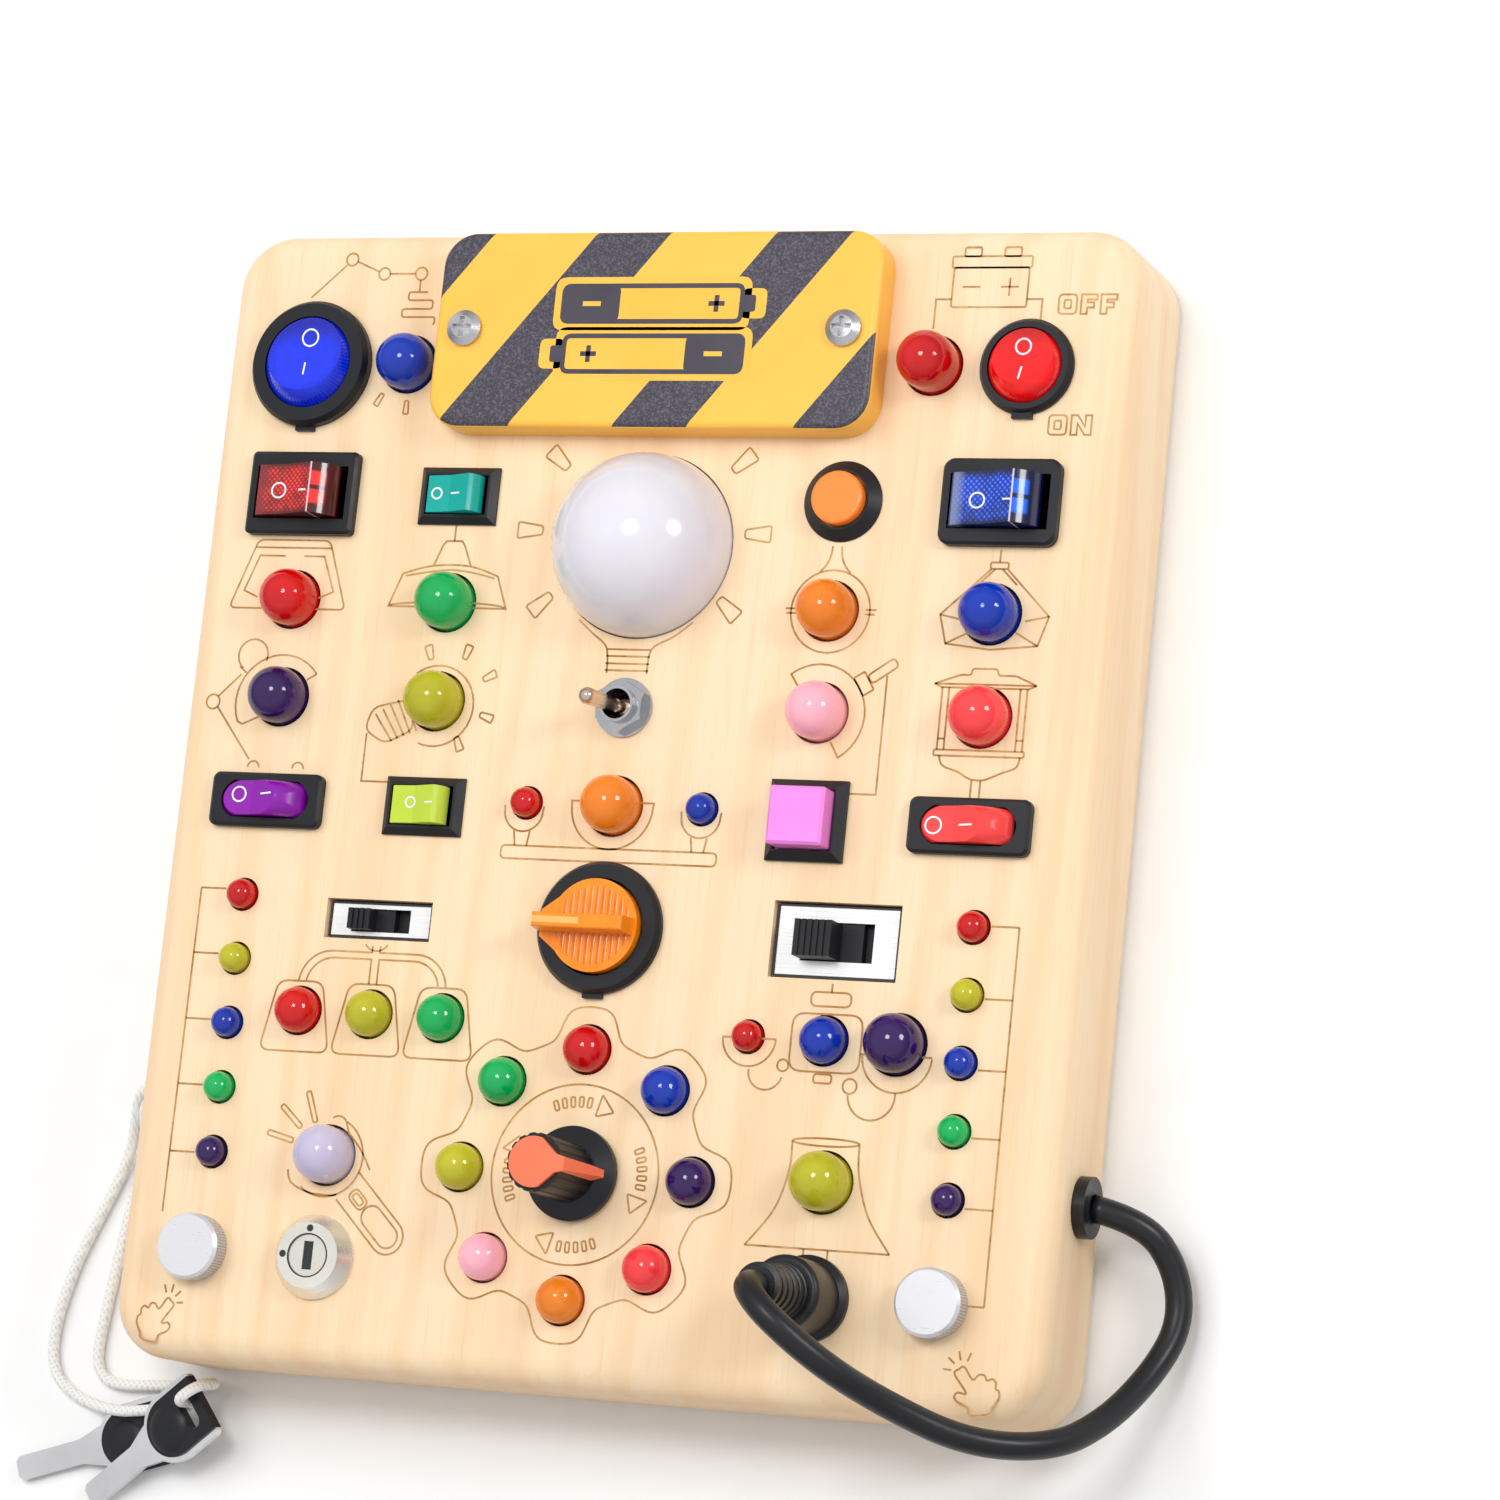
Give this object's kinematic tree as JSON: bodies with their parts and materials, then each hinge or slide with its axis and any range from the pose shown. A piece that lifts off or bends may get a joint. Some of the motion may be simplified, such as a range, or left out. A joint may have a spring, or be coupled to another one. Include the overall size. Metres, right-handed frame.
{
  "type": "wooden busy board",
  "caption": "Pine busy board with rocker, push, slide, toggle and rotary switches, coloured lamps, a battery cover, a key lock with keys on a cord and a plug on a cable.",
  "frame": {"origin": "centre of the footprint at the lowest point, with the board lying on its back", "axes": "+X to the board's right, +Y to its top edge with the battery cover, +Z out of its front face"},
  "size_m": [0.2175, 0.229, 0.0593],
  "materials": {
    "pine": "satin",
    "panel_board": "matt",
    "yellow_plate": "satin",
    "black_plastic": "satin",
    "red_clear": "translucent gloss",
    "blue_clear": "translucent gloss",
    "teal_plastic": "gloss",
    "lime_plastic": "gloss",
    "purple_clear": "translucent gloss",
    "coral_clear": "translucent gloss",
    "orange_clear": "translucent gloss",
    "pink_plastic": "gloss",
    "orange_plastic": "gloss",
    "coral_plastic": "satin",
    "red_lamp": "translucent",
    "yellow_lamp": "translucent",
    "blue_lamp": "translucent",
    "green_lamp": "translucent",
    "purple_lamp": "translucent",
    "orange_lamp": "translucent",
    "pink_lamp": "translucent",
    "coral_lamp": "translucent",
    "clear_lamp": "clear",
    "milky_dome": "diffusing",
    "chrome": "polished",
    "steel": "brushed",
    "brass": "plain",
    "circuit_board": "solder resist",
    "battery_jacket": "printed",
    "wire": "satin",
    "black_rubber": "satin",
    "white_cord": "braided"
  },
  "bodies": {
    "board": {"back_panel": "panel_board", "battery_box": "black_plastic", "battery_cells": "battery_jacket", "battery_contacts": "steel", "battery_cover": "yellow_plate", "button_housings": "black_plastic", "circuit_boards": "circuit_board", "cover_screws": "steel", "dome_lens": "milky_dome", "key_blades": "steel", "key_cord": "white_cord", "key_heads": "black_plastic", "lamps_blue": "blue_lamp", "lamps_coral": "coral_lamp", "lamps_green": "green_lamp", "lamps_lilac": "clear_lamp", "lamps_orange": "orange_lamp", "lamps_pink": "pink_lamp", "lamps_purple": "purple_lamp", "lamps_red": "red_lamp", "lamps_yellow": "yellow_lamp", "link_cable": "black_rubber", "lock_barrel": "chrome", "panel_nuts": "chrome", "plug_socket": "black_plastic", "rotary_switch": "black_plastic", "round_rocker_housings": "black_plastic", "selector_housing": "black_plastic", "side_grommets": "black_rubber", "slide_bodies": "black_plastic", "slide_plates": "steel", "slim_rocker_housings": "black_plastic", "small_rocker_housings": "black_plastic", "switch_terminals": "brass", "toggle_body": "black_plastic", "toggle_bush": "chrome", "toggle_nut": "chrome", "touch_studs": "chrome", "wide_rocker_housings": "black_plastic", "wiring": "wire", "wooden_body": "pine"},
    "round_rocker_blue_body": {"round_rocker_blue": "blue_clear"},
    "round_rocker_red_body": {"round_rocker_red": "red_clear"},
    "rocker_red_body": {"rocker_red": "red_clear"},
    "rocker_blue_body": {"rocker_blue": "blue_clear"},
    "rocker_teal_body": {"rocker_teal": "teal_plastic"},
    "rocker_lime_body": {"rocker_lime": "lime_plastic"},
    "rocker_purple_body": {"rocker_purple": "purple_clear"},
    "rocker_coral_body": {"rocker_coral": "coral_clear"},
    "round_button": {"round_button_cap": "orange_plastic"},
    "square_button": {"square_button_cap": "pink_plastic"},
    "small_slide": {"small_slider": "black_plastic"},
    "large_slide": {"large_slider": "black_plastic"},
    "toggle": {"toggle_lever": "chrome"},
    "selector": {"selector_handle": "orange_clear"},
    "knob": {"pointer_knob": "black_plastic", "knob_shaft": "steel", "pointer_cap": "coral_plastic"},
    "lock_core": {"lock_rotor": "chrome"},
    "plug": {"cable_plug": "black_rubber"}
  },
  "joints": [
    {"name": "round_rocker_blue_tilt", "type": "hinge", "parent": "board", "child": "round_rocker_blue_body", "pos_m": [-0.0678, 0.0766, 0.0223], "axis": [1, 0, 0], "range_deg": [0, 22]},
    {"name": "round_rocker_red_tilt", "type": "hinge", "parent": "board", "child": "round_rocker_red_body", "pos_m": [0.0672, 0.0766, 0.0225], "axis": [1, 0, 0], "range_deg": [0, 30]},
    {"name": "rocker_red_tilt", "type": "hinge", "parent": "board", "child": "rocker_red_body", "pos_m": [-0.0664, 0.0528, 0.02175], "axis": [0, 1, 0], "range_deg": [0, 30]},
    {"name": "rocker_blue_tilt", "type": "hinge", "parent": "board", "child": "rocker_blue_body", "pos_m": [0.065, 0.0528, 0.02175], "axis": [0, 1, 0], "range_deg": [0, 30]},
    {"name": "rocker_teal_tilt", "type": "hinge", "parent": "board", "child": "rocker_teal_body", "pos_m": [-0.036, 0.0528, 0.0233], "axis": [0, 1, 0], "range_deg": [0, 30]},
    {"name": "rocker_lime_tilt", "type": "hinge", "parent": "board", "child": "rocker_lime_body", "pos_m": [-0.036, -0.0028, 0.0233], "axis": [0, 1, 0], "range_deg": [0, 30]},
    {"name": "rocker_purple_tilt", "type": "hinge", "parent": "board", "child": "rocker_purple_body", "pos_m": [-0.0664, -0.0028, 0.02], "axis": [0, 1, 0], "range_deg": [0, 30]},
    {"name": "rocker_coral_tilt", "type": "hinge", "parent": "board", "child": "rocker_coral_body", "pos_m": [0.065, -0.0028, 0.02], "axis": [0, 1, 0], "range_deg": [0, 30]},
    {"name": "round_button_press", "type": "slide", "parent": "board", "child": "round_button", "axis": [0, 0, -1], "range_m": [0, 0.002], "stiffness_N_per_m": 500, "springref_m": -0.001},
    {"name": "square_button_press", "type": "slide", "parent": "board", "child": "square_button", "axis": [0, 0, -1], "range_m": [0, 0.0025], "stiffness_N_per_m": 500, "springref_m": -0.001},
    {"name": "small_slide_move", "type": "slide", "parent": "board", "child": "small_slide", "axis": [1, 0, 0], "range_m": [0, 0.0065]},
    {"name": "large_slide_move", "type": "slide", "parent": "board", "child": "large_slide", "axis": [1, 0, 0], "range_m": [0, 0.0058]},
    {"name": "toggle_flip", "type": "hinge", "parent": "board", "child": "toggle", "pos_m": [-0.0002, 0.0158, 0.023], "axis": [0, 1, 0], "range_deg": [0, 28]},
    {"name": "selector_turn", "type": "hinge", "parent": "board", "child": "selector", "pos_m": [-0.0002, -0.0227, 0.0261], "axis": [0, 0, 1], "range_deg": [-90, 0]},
    {"name": "knob_turn", "type": "hinge", "parent": "board", "child": "knob", "pos_m": [-0.0002, -0.065, 0.0246], "axis": [0, 0, 1], "range_deg": [-225, 90]},
    {"name": "lock_turn", "type": "hinge", "parent": "board", "child": "lock_core", "pos_m": [-0.0471, -0.0822, 0.027], "axis": [0, 0, 1], "range_deg": [0, 90]},
    {"name": "plug_pull", "type": "slide", "parent": "board", "child": "plug", "axis": [0, 0, 1], "range_m": [0, 0.02], "deforming": ["link_cable"]}
  ]
}
